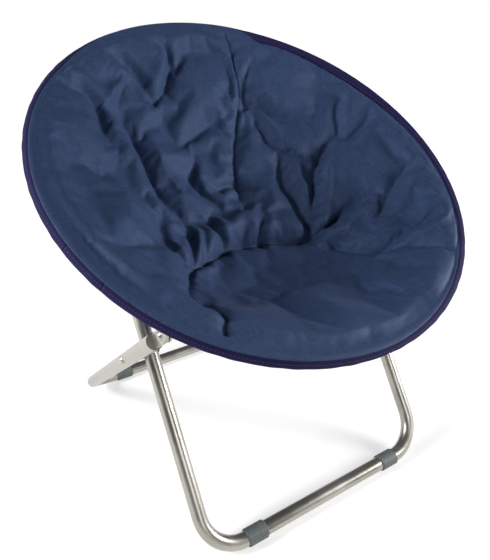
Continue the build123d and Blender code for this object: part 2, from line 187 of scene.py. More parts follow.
tree.links.new(grain.outputs["Fac"], out.inputs["Height"])


def metal(name, metallic, bump):
    """Metal finish that takes colour, roughness and grain from the group."""
    material = bpy.data.materials.new(name)
    material.use_nodes = True
    tree = material.node_tree
    surface = tree.nodes["Principled BSDF"]
    surface.inputs["Metallic"].default_value = metallic
    detail = tree.nodes.new("ShaderNodeGroup")
    detail.node_tree = metal_group
    tree.links.new(detail.outputs["Color"], surface.inputs["Base Color"])
    tree.links.new(detail.outputs["Roughness"], surface.inputs["Roughness"])
    relief = tree.nodes.new("ShaderNodeBump")
    relief.inputs["Strength"].default_value = bump
    relief.inputs["Distance"].default_value = 0.0002
    tree.links.new(detail.outputs["Height"], relief.inputs["Height"])
    tree.links.new(relief.outputs["Normal"], surface.inputs["Normal"])
    return material


def finish_nodes(names, material):
    """Gives CAD nodes a material in place of their plain one."""
    for name in names:
        nodes[name].data.materials.clear()
        nodes[name].data.materials.append(material)


tube_metal = metal("tube_metal", 0.9, 0.15)
finish_nodes(["rear_leg_tube", "front_leg_tube", "ring_front_tube", "ring_back_tube"], tube_metal)

# --- Fittings -----------------------------------------------------------------------------------
# Flat tongues in the leg tops, folded brackets under the ring and lapped hinge plates are steel in
# the same paint. Bright steel rivets join them.
def both_sides(*names):
    """Names of the left and right node of each kind."""
    return [f"{name}_{side}" for name in names for side in ("left", "right")]


fitting_metal = metal("fitting_metal", 0.85, 0.3)
finish_nodes(both_sides("rear_leg_end", "front_leg_end", "seat_bracket", "back_bracket"), fitting_metal)
finish_nodes(both_sides("hinge_plate_front", "hinge_plate_back"), fitting_metal)
rivet_metal = metal("rivet_metal", 1.0, 0.3)
finish_nodes(both_sides("scissor_rivet", "hinge_rivet"), rivet_metal)
finish_nodes(both_sides("seat_bracket_rivet", "back_bracket_rivet"), rivet_metal)


# --- Plastic spacers and feet -------------------------------------------------------------------
# Black nylon washers part the legs at their rivets. Grey-green moulded sleeves with a fine crossed
# grip are pushed on the bars that lie on the floor.
def plastic(name, color, roughness, scale, depth):
    """Moulded plastic with slight mottling and a fine crossed grip."""
    material = bpy.data.materials.new(name)
    material.use_nodes = True
    tree = material.node_tree
    surface = tree.nodes["Principled BSDF"]
    surface.inputs["Roughness"].default_value = roughness
    place = tree.nodes.new("ShaderNodeTexCoord")
    mottle = tree.nodes.new("ShaderNodeTexNoise")
    mottle.inputs["Scale"].default_value = 60
    mottle.inputs["Detail"].default_value = 5
    tree.links.new(place.outputs["Object"], mottle.inputs["Vector"])
    tint = tree.nodes.new("ShaderNodeMix")
    tint.data_type = "RGBA"
    tint.inputs["A"].default_value = (*[c * 0.86 for c in color], 1)
    tint.inputs["B"].default_value = (*[c * 1.14 for c in color], 1)
    tree.links.new(mottle.outputs["Fac"], tint.inputs["Factor"])
    tree.links.new(tint.outputs["Result"], surface.inputs["Base Color"])
    waves = []
    for turn in (0.7, -0.7):
        lean = tree.nodes.new("ShaderNodeMapping")
        lean.inputs["Rotation"].default_value = (0, turn, turn)
        tree.links.new(place.outputs["Object"], lean.inputs["Vector"])
        wave = tree.nodes.new("ShaderNodeTexWave")
        wave.inputs["Scale"].default_value = scale
        tree.links.new(lean.outputs["Vector"], wave.inputs["Vector"])
        waves.append(wave)
    crossed = tree.nodes.new("ShaderNodeMath")
    crossed.operation = "MULTIPLY"
    tree.links.new(waves[0].outputs["Fac"], crossed.inputs[0])
    tree.links.new(waves[1].outputs["Fac"], crossed.inputs[1])
    relief = tree.nodes.new("ShaderNodeBump")
    relief.inputs["Strength"].default_value = 0.7
    relief.inputs["Distance"].default_value = depth
    tree.links.new(crossed.outputs[0], relief.inputs["Height"])
    tree.links.new(relief.outputs["Normal"], surface.inputs["Normal"])
    return material


foot_plastic = plastic("foot_plastic", (0.105, 0.125, 0.122), 0.55, 95, 0.0008)
finish_nodes(both_sides("front_foot", "rear_foot"), foot_plastic)
spacer_plastic = plastic("spacer_plastic", (0.03, 0.03, 0.032), 0.5, 300, 0.0001)
finish_nodes(both_sides("scissor_spacer"), spacer_plastic)

# --- Cloth --------------------------------------------------------------------------------------
# The cover is navy polyester: a fine plain weave with slubs, drawn fibres, faint unevenness of the
# dye and a slight bluish shine.
TILT = math.radians(31.2)
RING_HEIGHT = 0.580

weave_group, out = new_group("woven_polyester", [
    ("Color", "NodeSocketColor"),
    ("Shade", "NodeSocketFloat"),
    ("Height", "NodeSocketFloat"),
])
tree = weave_group
place = tree.nodes.new("ShaderNodeTexCoord")
level = tree.nodes.new("ShaderNodeMapping")
level.inputs["Rotation"].default_value = (-TILT, 0, 0)
tree.links.new(place.outputs["Object"], level.inputs["Vector"])
split = tree.nodes.new("ShaderNodeSeparateXYZ")
tree.links.new(level.outputs["Vector"], split.inputs["Vector"])


def wave_of(tree, source, pitch):
    """Sine of a coordinate, one turn per pitch."""
    scaled = tree.nodes.new("ShaderNodeMath")
    scaled.operation = "MULTIPLY"
    scaled.inputs[1].default_value = 2 * math.pi / pitch
    tree.links.new(source, scaled.inputs[0])
    sine = tree.nodes.new("ShaderNodeMath")
    sine.operation = "SINE"
    tree.links.new(scaled.outputs[0], sine.inputs[0])
    return sine.outputs[0]


def maths(tree, operation, first, second):
    """Math node on two sockets or numbers."""
    node = tree.nodes.new("ShaderNodeMath")
    node.operation = operation
    for i, value in enumerate((first, second)):
        if isinstance(value, (int, float)):
            node.inputs[i].default_value = value
        else:
            tree.links.new(value, node.inputs[i])
    return node.outputs[0]


THREAD_PITCH = 0.0016
warp = wave_of(tree, split.outputs["X"], THREAD_PITCH)
weft = wave_of(tree, split.outputs["Y"], THREAD_PITCH)
threads = maths(tree, "MULTIPLY", warp, weft)
slub = tree.nodes.new("ShaderNodeTexNoise")
slub.inputs["Scale"].default_value = 900
slub.inputs["Detail"].default_value = 2
tree.links.new(place.outputs["Object"], slub.inputs["Vector"])
raised = maths(tree, "ADD", maths(tree, "MULTIPLY", threads, 0.5), slub.outputs["Fac"])
tree.links.new(raised, out.inputs["Height"])
tree.links.new(threads, out.inputs["Shade"])
dye = tree.nodes.new("ShaderNodeTexNoise")
dye.inputs["Scale"].default_value = 7
dye.inputs["Detail"].default_value = 5
tree.links.new(place.outputs["Object"], dye.inputs["Vector"])
mixed = maths(tree, "MULTIPLY", dye.outputs["Fac"], 0.3)
mixed = maths(tree, "ADD", mixed, maths(tree, "MULTIPLY", threads, 0.06))
for stretch in ((45, 620, 45), (620, 45, 45)):
    drawn = tree.nodes.new("ShaderNodeVectorMath")
    drawn.operation = "MULTIPLY"
    drawn.inputs[1].default_value = stretch
    tree.links.new(level.outputs["Vector"], drawn.inputs[0])
    fibre = tree.nodes.new("ShaderNodeTexNoise")
    fibre.inputs["Scale"].default_value = 1
    fibre.inputs["Detail"].default_value = 2
    tree.links.new(drawn.outputs["Vector"], fibre.inputs["Vector"])
    streak = maths(tree, "SUBTRACT", fibre.outputs["Fac"], 0.5)
    mixed = maths(tree, "ADD", mixed, maths(tree, "MULTIPLY", streak, 0.7))
tint = tree.nodes.new("ShaderNodeValToRGB")
tint.color_ramp.elements[0].position = 0.0
tint.color_ramp.elements[0].color = (0.0250, 0.0430, 0.0980, 1)
tint.color_ramp.elements[1].position = 0.32
tint.color_ramp.elements[1].color = (0.0370, 0.0630, 0.1360, 1)
tree.links.new(mixed, tint.inputs["Fac"])
tree.links.new(tint.outputs["Color"], out.inputs["Color"])

cloth = bpy.data.materials.new("navy_cloth")
cloth.use_nodes = True
tree = cloth.node_tree
surface = tree.nodes["Principled BSDF"]
surface.inputs["Roughness"].default_value = 0.60
surface.inputs["Specular IOR Level"].default_value = 0.25
surface.inputs["Specular Tint"].default_value = (0.50, 0.62, 1.0, 1)
surface.inputs["Sheen Weight"].default_value = 0.05
surface.inputs["Sheen Roughness"].default_value = 0.45
surface.inputs["Sheen Tint"].default_value = (0.45, 0.52, 0.8, 1)
detail = tree.nodes.new("ShaderNodeGroup")
detail.node_tree = weave_group
tree.links.new(detail.outputs["Color"], surface.inputs["Base Color"])
relief = tree.nodes.new("ShaderNodeBump")
relief.inputs["Strength"].default_value = 0.35
relief.inputs["Distance"].default_value = 0.0003
tree.links.new(detail.outputs["Height"], relief.inputs["Height"])
tree.links.new(relief.outputs["Normal"], surface.inputs["Normal"])

# --- Padded bowl: shape of the cover ------------------------------------------------------------
# Millimetres on the ring plane: x right, s up the slope, n square to it. The upper sheet is a bowl with
# a roll inside the rim at the front left, sewn down along its seams and creased where it is slack.
RING_RADIUS = 367.0
SLEEVE_RADIUS = 12.0
BOWL_RADIUS = 354.5
BOWL_DEPTH = 155.0
BOWL_CENTRE = -60.0
FOLD_LINE = -129.0
ROLL_RADIUS = 345.0


def bowl_depth(x, s):
    """Depth of the hanging bowl below the ring plane."""
    away = s - BOWL_CENTRE
    distance = np.maximum(np.hypot(x, away), 1e-6)
    slope = BOWL_CENTRE * away / distance
    rim = np.sqrt(slope**2 + BOWL_RADIUS**2 - BOWL_CENTRE**2) - slope
    share = 1 - np.minimum(distance / rim, 1.0) ** 2
    return BOWL_DEPTH * share * (0.88 + 0.12 * share)


def dense(path, step=3.0):
    """Points close together on a smooth curve through the path."""
    p = np.array(path, float)
    if len(p) == 2:
        p = np.array([p[0], (p[0] + p[1]) / 2, p[1]])
    ends = np.vstack([2 * p[0] - p[1], p, 2 * p[-1] - p[-2]])
    out = []
    for i in range(1, len(ends) - 2):
        a, b, c, d = ends[i - 1 : i + 3]
        count = max(2, int(np.hypot(*(c - b)) / step))
        t = np.linspace(0, 1, count, endpoint=False)[:, None]
        curve = 2 * b + (c - a) * t
        curve = curve + (2 * a - 5 * b + 4 * c - d) * t**2
        curve = curve + (3 * b - a - 3 * c + d) * t**3
        out.append(0.5 * curve)
    return np.vstack(out + [ends[-2:-1]])


def along(x, s, path):
    """Signed distance to a path, left of it positive, and the share of its length there."""
    points = dense(path)
    tangent = np.gradient(points, axis=0)
    tangent /= np.maximum(np.hypot(tangent[:, 0], tangent[:, 1])[:, None], 1e-9)
    best = np.full(x.shape, 1e9)
    index = np.zeros(x.shape, int)
    for i, (px, ps) in enumerate(points):
        d = np.hypot(x - px, s - ps)
        near = d < best
        best[near] = d[near]
        index[near] = i
    side = tangent[index, 0] * (s - points[index, 1]) - tangent[index, 1] * (x - points[index, 0])
    return np.where(side >= 0, best, -best), index / (len(points) - 1)


def taper(u, first, last):
    """1 along the middle of a path, easing to the given shares at its two ends."""
    return np.minimum(1, np.minimum(first + (1 - first) * u / 0.3, last + (1 - last) * (1 - u) / 0.3))


seat_seam = [
    (-229, -312), (-217, -280), (-201, -246), (-212, -214), (-212, -186), (-188, -152), (-163, -122),
    (-95, -88), (-31, -70), (35, -80), (99, -111), (124, -141), (144, -176), (176, -203), (204, -222),
    (229, -262), (240, -290),
]
back_seam = [
    (99, 340), (102, 296), (100, 262), (94, 225), (83, 200), (67, 165), (48, 124), (34, 83), (20, 30),
]

# Each crease: path, depth, half width, height and offset of the lip on its left (below 0: on its right),
# and the shares of the depth that are left at its two ends.
creases = [
    ([(-300, 232), (-280, 235), (-257, 224), (-235, 220), (-222, 203), (-220, 173), (-221, 148),
      (-208, 118)], 13, 9, 7, 20, 0.3, 0.1),
    ([(-203, 205), (-177, 185), (-162, 152), (-156, 113), (-152, 70), (-142, 34), (-122, 2)],
     19, 17, 8, -28, 0.2, 0.5),
    ([(-166, 300), (-129, 287), (-110, 262), (-98, 236)], 12, 11, 4, 18, 0.1, 0.4),
    ([(-140, 262), (-119, 237), (-104, 230)], 9, 10, 0, 16, 0.1, 0.3),
    ([(-62, 330), (-40, 320), (-42, 290), (-66, 252), (-94, 230)], 13, 10, 5, -18, 0.1, 0.5),
    ([(-58, 150), (-12, 172), (40, 190)], 8, 15, 0, 20, 0.3, 0.3),
    ([(-51, 115), (-66, 80), (-62, 60), (-40, 26)], 15, 8, 5, 16, 0.1, 0.4),
    ([(-36, 50), (16, 60), (50, 40)], 11, 8, 6, -16, 0.3, 0.3),
    ([(137, 275), (113, 243), (96, 200)], 9, 9, 5, -18, 0.2, 0.7),
    ([(104, 204), (132, 191), (152, 164), (200, 142)], 12, 8, 6, 18, 0.6, 0.1),
    ([(112, 186), (121, 145), (128, 108)], 12, 9, 6, 17, 0.5, 0.3),
    ([(137, 100), (123, 39), (124, -5), (121, -52), (108, -100)], 30, 12, 10, 22, 0.1, 1.0),
    ([(252, 76), (215, 56), (187, 28), (160, -16), (138, -58)], 24, 11, 10, 21, 0.1, 0.7),
    ([(257, 72), (262, 54), (280, 58), (304, 66), (322, 90)], 7, 6, 4, -12, 0.4, 0.1),
    ([(288, 145), (270, 119), (260, 86)], 6, 10, 4, 18, 0.1, 0.6),
    ([(334, -58), (295, -76), (259, -101), (222, -128)], 13, 9, 7, 18, 0.1, 0.5),
    ([(262, -76), (215, -76), (181, -80), (147, -94), (112, -104)], 28, 11, 10, 21, 0.1, 1.0),
    ([(300, -172), (255, -189), (212, -194), (174, -202)], 10, 7, 7, 14, 0.1, 0.8),
    ([(-66, 6), (-70, -25), (-66, -64)], 11, 8, 5, 16, 0.2, 1.0),
    ([(-20, -70), (-14, -48), (6, -40)], 10, 9, 0, 16, 1.0, 0.1),
    ([(40, -30), (20, -52), (14, -78)], 11, 8, 5, 16, 0.1, 1.0),
    ([(24, 19), (8, -12)], 6, 9, 4, 16, 0.1, 0.1),
    ([(-126, -14), (-134, -60), (-158, -112)], 14, 8, 7, 16, 0.2, 1.0),
    ([(-100, -40), (-112, -70), (-128, -104)], 10, 7, 5, 14, 0.2, 1.0),
    ([(-180, 0), (-186, -60), (-176, -108)], 9, 9, 5, 16, 0.1, 0.8),
    ([(-285, -90), (-262, -84), (-236, -78)], 9, 11, 5, -18, 0.2, 0.2),
    ([(-262, 70), (-254, 66)], 9, 9, 0, 10, 1.0, 1.0),
]
# Long soft ridges between the creases: path, height, width.
ridges = [
    ([(-251, 212), (-244, 189), (-243, 142), (-246, 100), (-254, 72)], 5, 9),
    ([(-219, 165), (-192, 145), (-178, 108), (-168, 60), (-158, 5)], 5, 10),
    ([(-126, 158), (-120, 102), (-106, 52), (-98, 20)], 6, 11),
    ([(-278, 60), (-224, 19), (-196, -33), (-170, -80), (-160, -112)], 10, 13),
    ([(-236, 20), (-244, -42), (-226, -80)], 6, 12),
    ([(-286, -112), (-251, -134), (-222, -160), (-208, -200)], 8, 14),
]
# Tufts of the seat panel, where it is held down to a point: place, depth, width.
tufts = [
    ((53, -282), 7, 26), ((-71, -275), 7, 28), ((-19, -345), 5, 24), ((110, -320), 6, 26),
    ((-205, -213), 12, 13), ((150, -250), 5, 26), ((-10, -185), 5, 30), ((-130, -210), 4, 30),
    ((60, -180), 4, 28),
]
# Swells of the filling: place, height, width.
swells = [
    ((-250, -60), 8, 60), ((-120, 120), 7, 55), ((-10, 250), 8, 70), ((190, 230), 8, 55),
    ((255, 0), 8, 50), ((170, 100), 7, 40), ((70, 0), 8, 36), ((0, -20), 8, 40), ((-90, 40), 6, 36),
    ((0, -240), 9, 90), ((-130, -270), 7, 50), ((150, -280), 7, 45), ((200, -140), 8, 34),
    ((60, 110), 7, 40), ((-250, 140), 6, 45),
]


def near_angle(angle, middle, width):
    """1 at a place on the rim, falling off on both sides of it, all in degrees."""
    return np.exp(-((((angle - middle + 180) % 360 - 180) / width) ** 2))


def cover_height(x, s):
    """Upper sheet of the cover above the ring plane, before it is puffed."""
    r = np.hypot(x, s)
    angle = np.degrees(np.arctan2(s, x))
    height = 7.0 - bowl_depth(x, s) + 5 * (1 - np.minimum(r / ROLL_RADIUS, 1) ** 4)
    left = near_angle(angle, -142, 42)
    front = near_angle(angle, -80, 48)
    turns = np.radians(angle)
    uneven = 1 + 0.10 * np.sin(turns * 7 + 1) + 0.08 * np.sin(turns * 12 + 2)
    roll = (5 + 17 * left + 11 * front) * uneven
    crest = ROLL_RADIUS - 3 - 12 * left - 6 * front
    inward = np.where(r < crest, 28 + 6 * left + 45 * front, 16.0)
    height += roll * np.exp(-(((r - crest) / inward) ** 2))
    pucker = np.sin(turns * 71) + 0.8 * np.sin(turns * 97 + 1.7) + 0.7 * np.sin(turns * 53 + 0.4)
    height += 0.3 * pucker * np.exp(-(((r - (BOWL_RADIUS - 1.5)) / 11) ** 2))
    for path, depth, width, lip, offset, first, last in creases:
        t, u = along(x, s, path)
        share = taper(u, first, last)
        height -= share * 1.25 * depth * np.exp(-np.sqrt(t**2 + 4) / (0.85 * width))
        height += share * 1.3 * lip * np.exp(-(((t - offset) / (abs(offset) * 0.7)) ** 2))
    for path, lift, width in ridges:
        t, u = along(x, s, path)
        height += taper(u, 0.2, 0.2) * lift * np.exp(-np.sqrt(t**2 + 8) / width)
    for (px, ps), depth, width in tufts:
        height -= depth * np.exp(-np.hypot(x - px, s - ps) / width * 1.4)
    for (px, ps), lift, width in swells:
        height += lift * np.exp(-(np.hypot(x - px, s - ps) / width) ** 2)
    t, u = along(x, s, seat_seam)
    gathered = np.clip(1.4 - np.abs(u - 0.52) * 3.2, np.where(u < 0.3, 0.45, 0.4), 1)
    height -= 20 * gathered * np.exp(-np.sqrt(t**2 + 4) / 8)
    height += np.where(t > 0, 14, 2) * gathered * np.exp(-(((np.abs(t) - 32) / 24) ** 2))
    t, u = along(x, s, back_seam)
    height -= (5 + 12 * u) * np.exp(-np.sqrt(t**2 + 3) / (4 + 8 * u))
    return height


# Where the cloth of the pad meets the binding: place on the rim, and place round the sleeve, in
# degrees (0 outward, 90 up). It goes over the tube at the front left and the top, and stops short
# inside it at the upper right.
meeting = [
    (-180, 63), (-135, 50), (-90, 60), (-60, 98), (-25, 128), (0, 142), (18, 165), (35, 188), (60, 188),
    (70, 75), (78, 57), (105, 57), (135, 100), (155, 80),
]


def meeting_angle(angle):
    """Place round the sleeve, in radians, where the pad's cloth ends, from the place on the rim."""
    places, turns = zip(*meeting)
    return np.radians(np.interp(np.degrees(angle), places, turns, period=360))


def lift_angle(angle):
    """Place round the sleeve, in radians, where the pad's cloth first lies on it."""
    return np.maximum(math.radians(124), meeting_angle(angle) + math.radians(8))


def on_sleeve(angle, turn, radius):
    """Places at a radius round the ring tube's centreline, on the ring plane."""
    r = RING_RADIUS + radius * np.cos(turn)
    return r * np.cos(angle), r * np.sin(angle), radius * np.sin(turn) + 0 * r


GRID = 150
line = np.linspace(-1, 1, GRID + 1)
gu, gv = np.meshgrid(line, line, indexing="ij")
unit_x = gu * np.sqrt(1 - gv**2 / 2)
unit_s = gv * np.sqrt(1 - gu**2 / 2)
disc_angle = np.arctan2(unit_s, unit_x)
over_top = np.clip((math.radians(125) - meeting_angle(disc_angle)) / 0.7, 0, 1)
cloth_radius = SLEEVE_RADIUS + 0.6 + 0.8 * over_top
edge_r = RING_RADIUS + cloth_radius * np.cos(lift_angle(disc_angle))
edge_height = cloth_radius * np.sin(lift_angle(disc_angle))
disc_x, disc_s = unit_x * edge_r, unit_s * edge_r
disc_r = np.hypot(disc_x, disc_s)
upper = cover_height(disc_x, disc_s)
EDGE_WIDTH = 13
edge = np.clip((disc_r - edge_r + EDGE_WIDTH) / EDGE_WIDTH, 0, 1) ** 2
upper = upper * (1 - edge) + edge_height * edge


def to_space(x, s, n):
    """Places on the ring plane, in millimetres, as points in metres."""
    y = s * math.cos(TILT) - n * math.sin(TILT)
    z = s * math.sin(TILT) + n * math.cos(TILT)
    return np.stack([x / 1000, y / 1000, RING_HEIGHT + z / 1000], -1)


def on_ring(place):
    """Points in metres as places on the ring plane, in millimetres."""
    y = place[..., 1] * 1000
    z = (place[..., 2] - RING_HEIGHT) * 1000
    s = y * math.cos(TILT) + z * math.sin(TILT)
    n = z * math.cos(TILT) - y * math.sin(TILT)
    return place[..., 0] * 1000, s, n


def grid_faces(rows, columns):
    """Quads of a grid whose points run along the columns first."""
    i, j = np.meshgrid(np.arange(rows - 1), np.arange(columns - 1), indexing="ij")
    a = (i * columns + j).ravel()
    return np.stack([a, a + columns, a + columns + 1, a + 1], -1).tolist()


def mesh_object(name, points, faces):
    """New object of points and faces."""
    mesh = bpy.data.meshes.new(name)
    mesh.from_pydata([tuple(p) for p in points], [], faces)
    mesh.update()
    piece = bpy.data.objects.new(name, mesh)
    scene.collection.objects.link(piece)
    return piece


# --- Padded bowl: puffing the cloth -------------------------------------------------------------
# The sheet is held at its rim, seams, creases and tufts, grows a little and is blown up, so it wrinkles
# as slack quilting does. No point may move further than MOST_SHIFT, in metres.
FRAMES = 28
MOST_SHIFT = 0.022
sheet_points = to_space(disc_x, disc_s, upper).reshape(-1, 3)
sheet = mesh_object("cover_sheet", sheet_points, grid_faces(GRID + 1, GRID + 1))
hold = sheet.vertex_groups.new(name="hold")
seam_t, _ = along(disc_x, disc_s, seat_seam)
back_t, _ = along(disc_x, disc_s, back_seam)
held = np.exp(-((np.abs(seam_t) / 5) ** 2)) + 0.8 * np.exp(-((np.abs(back_t) / 4) ** 2))
for path, depth, _, _, _, first, last in creases:
    t, u = along(disc_x, disc_s, path)
    held += 0.9 * depth / 20 * taper(u, first, last) * np.exp(-((np.abs(t) / 4) ** 2))
for (px, ps), _, _ in tufts:
    held += np.exp(-(np.hypot(disc_x - px, disc_s - ps) / 6) ** 2)
held = np.clip(held + np.clip((disc_r - edge_r + 9) / 6, 0, 1), 0, 1).ravel()
for i in np.nonzero(held > 0.02)[0].tolist():
    hold.add([i], float(held[i]), "REPLACE")
taut = sheet.vertex_groups.new(name="taut")
loose = np.where(seam_t > 0, 1.0, 0.3) * np.clip((BOWL_RADIUS - 2.5 - disc_r) / 40, 0.15, 1)
loose = loose * (0.75 + 0.25 * np.cos(disc_x / 90))
for i, share in enumerate(loose.ravel().tolist()):
    taut.add([i], 1 - share, "REPLACE")
cloth_modifier = sheet.modifiers.new("cloth", "CLOTH")
settings = cloth_modifier.settings
settings.quality = 6
settings.mass = 0.25
settings.tension_stiffness = 18
settings.compression_stiffness = 18
settings.shear_stiffness = 8
settings.bending_stiffness = 3.0
settings.tension_damping = 8
settings.compression_damping = 8
settings.shear_damping = 8
settings.bending_damping = 1.0
settings.air_damping = 4
settings.vertex_group_mass = "hold"
settings.pin_stiffness = 1.0
settings.vertex_group_shrink = "taut"
settings.shrink_min = -0.06
settings.shrink_max = 0.0
settings.use_pressure = True
settings.uniform_pressure_force = 2.0
settings.effector_weights.gravity = 0
cloth_modifier.collision_settings.use_collision = False
cloth_modifier.collision_settings.use_self_collision = False
scene.frame_start = 1
scene.frame_end = FRAMES + 2
for number in range(1, FRAMES + 1):
    scene.frame_set(number)
evaluated = sheet.evaluated_get(bpy.context.evaluated_depsgraph_get())
moved = np.array([v.co for v in evaluated.data.vertices], float)
scene.frame_set(1)
bpy.data.objects.remove(sheet)
shift = moved - sheet_points
size = np.linalg.norm(shift, axis=1, keepdims=True)
sheet_points = sheet_points + shift * np.minimum(1, MOST_SHIFT / np.maximum(size, 1e-9))

# --- Padded bowl: closed form -------------------------------------------------------------------
# The puffed upper sheet, its edge tucked over the rim's sleeve, and the smooth cloth underneath make
# one closed pad with filling inside.
rim_index = np.concatenate([
    np.arange(0, GRID) * (GRID + 1),
    GRID * (GRID + 1) + np.arange(0, GRID),
    np.arange(GRID, 0, -1) * (GRID + 1) + GRID,
    np.arange(GRID, 0, -1),
])
rim_angle = disc_angle.ravel()[rim_index]
rim_radius = cloth_radius.ravel()[rim_index]
lies, meets = lift_angle(rim_angle), meeting_angle(rim_angle)
last_turn = math.radians(200)
under_cloth = SLEEVE_RADIUS + 0.35 + 0 * rim_radius
tuck = [
    on_sleeve(rim_angle, lies + (meets - lies) * 0.35, rim_radius),
    on_sleeve(rim_angle, lies + (meets - lies) * 0.7, rim_radius),
    on_sleeve(rim_angle, lies + (meets - lies) * 0.94, rim_radius - 0.1),
    on_sleeve(rim_angle, meets, SLEEVE_RADIUS + 0.5 + 0 * rim_radius),
    on_sleeve(rim_angle, meets + (last_turn - meets) * 0.33, under_cloth),
    on_sleeve(rim_angle, meets + (last_turn - meets) * 0.66, under_cloth),
    on_sleeve(rim_angle, last_turn, under_cloth),
]
UNDERSIDE = -11.0
LEAST_FILLING = 4.5
x, s, n = on_ring(sheet_points)
least = UNDERSIDE + LEAST_FILLING - bowl_depth(x, s)
n = np.maximum(n, np.where(np.hypot(x, s) < BOWL_RADIUS - 4, least, n))
points = [to_space(x, s, n)]
faces = grid_faces(GRID + 1, GRID + 1)
ring_of = rim_index
total = len(sheet_points)
count = len(rim_index)


def bridge(first, second):
    """Quads between two closed loops of the same count."""
    following = np.roll(np.arange(len(first)), -1)
    return np.stack([first, second, second[following], first[following]], -1).tolist()


for place in tuck:
    points.append(to_space(*place))
    loop = total + np.arange(count)
    faces += bridge(ring_of, loop)
    ring_of = loop
    total += count
lower_x, lower_s = unit_x * BOWL_RADIUS, unit_s * BOWL_RADIUS
lower = UNDERSIDE - bowl_depth(lower_x, lower_s)
points.append(to_space(lower_x, lower_s, lower).reshape(-1, 3))
faces += bridge(ring_of, total + rim_index)
faces += [[total + i for i in reversed(f)] for f in grid_faces(GRID + 1, GRID + 1)]
cover = mesh_object("cover", np.vstack(points), faces)
smooth = cover.modifiers.new("smooth", "SUBSURF")
smooth.levels = 1
smooth.render_levels = 1
evaluated = cover.evaluated_get(bpy.context.evaluated_depsgraph_get())
whole = bpy.data.meshes.new_from_object(evaluated)
bpy.data.objects.remove(cover)

# Sewing draws the cloth into narrow grooves along the two seams.
place = np.zeros(len(whole.vertices) * 3)
whole.vertices.foreach_get("co", place)
place = place.reshape(-1, 3)
x, s, n = on_ring(place)
top_side = np.clip((n + bowl_depth(x, s) + 9) / 3, 0, 1) * (np.hypot(x, s) < BOWL_RADIUS)
for path, depth, width in ((seat_seam, 3.5, 2.6), (back_seam, 2.6, 2.2)):
    t, _ = along(x, s, path)
    n = n - top_side * depth * np.exp(-((t / width) ** 2))
whole.vertices.foreach_set("co", to_space(x, s, n).ravel())
whole.update()

# --- Padded bowl: two pieces that meet on the fold line -----------------------------------------
# Each keeps the whole bowl's normals, so no line shows between them at rest.
fold_point = Vector(to_space(0.0, FOLD_LINE, 0.0).tolist())
fold_normal = Vector((0, math.cos(TILT), math.sin(TILT)))
work = bmesh.new()
work.from_mesh(whole)
everything = work.verts[:] + work.edges[:] + work.faces[:]
bmesh.ops.bisect_plane(work, geom=everything, dist=1e-6, plane_co=fold_point, plane_no=fold_normal)
work.normal_update()
halves = (("seat_cushion", -1, "ring_front", "seat_pad"), ("back_cushion", 1, "ring_back", "back_pad"))
for name, way, body, node in halves:
    half = work.copy()
    off = [f for f in half.faces if (f.calc_center_median() - fold_point).dot(fold_normal) * way < 0]
    layer = half.verts.layers.float_vector.new("whole_normal")
    half.verts.ensure_lookup_table()
    work.verts.ensure_lookup_table()
    for a, b in zip(half.verts, work.verts):
        a[layer] = b.normal
    bmesh.ops.delete(half, geom=off, context="FACES")
    open_edges = [e for e in half.edges if e.is_boundary]
    caps = bmesh.ops.triangle_fill(half, edges=open_edges, use_beauty=True, use_dissolve=False)["geom"]
    for f in half.faces:
        f.smooth = True
    for f in caps:
        if isinstance(f, bmesh.types.BMFace):
            f.material_index = 1
    mesh = bpy.data.meshes.new(name)
    half.to_mesh(mesh)
    half.free()
    piece = bpy.data.objects.new(name, mesh)
    scene.collection.objects.link(piece)
    stored = np.zeros(len(mesh.vertices) * 3)
    mesh.attributes["whole_normal"].data.foreach_get("vector", stored)
    stored = stored.reshape(-1, 3)
    normals = np.zeros((len(mesh.loops), 3))
    for polygon in mesh.polygons:
        flat = polygon.material_index == 1
        for i in polygon.loop_indices:
            normals[i] = polygon.normal if flat else stored[mesh.loops[i].vertex_index]
    mesh.normals_split_custom_set(normals.tolist())
    mesh.attributes.remove(mesh.attributes["whole_normal"])
    mesh.materials.append(cloth)
    mesh.materials.append(cloth)
    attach(piece, body)
    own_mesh(piece)
    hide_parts(node)
work.free()

# --- Binding ------------------------------------------------------------------------------------
# A darker, purplish tape is folded round the ring tube as a sleeve and sewn to the pad's edge. Its
# edge stands up slightly along the line where it meets the pad.
binding = bpy.data.materials.new("binding_tape")
binding.use_nodes = True
tree = binding.node_tree
surface = tree.nodes["Principled BSDF"]
surface.inputs["Roughness"].default_value = 0.8
surface.inputs["Specular IOR Level"].default_value = 0.15
surface.inputs["Specular Tint"].default_value = (0.6, 0.55, 1.0, 1)
detail = tree.nodes.new("ShaderNodeGroup")
detail.node_tree = weave_group
shade = tree.nodes.new("ShaderNodeMix")
shade.data_type = "RGBA"
shade.inputs["A"].default_value = (0.0140, 0.0120, 0.0520, 1)
shade.inputs["B"].default_value = (0.0230, 0.0200, 0.0800, 1)
tree.links.new(detail.outputs["Shade"], shade.inputs["Factor"])
tree.links.new(shade.outputs["Result"], surface.inputs["Base Color"])
relief = tree.nodes.new("ShaderNodeBump")
relief.inputs["Strength"].default_value = 0.5
relief.inputs["Distance"].default_value = 0.0004
tree.links.new(detail.outputs["Height"], relief.inputs["Height"])
tree.links.new(relief.outputs["Normal"], surface.inputs["Normal"])

TURNS = 36
BRACKET_OPENING = (7, 12)


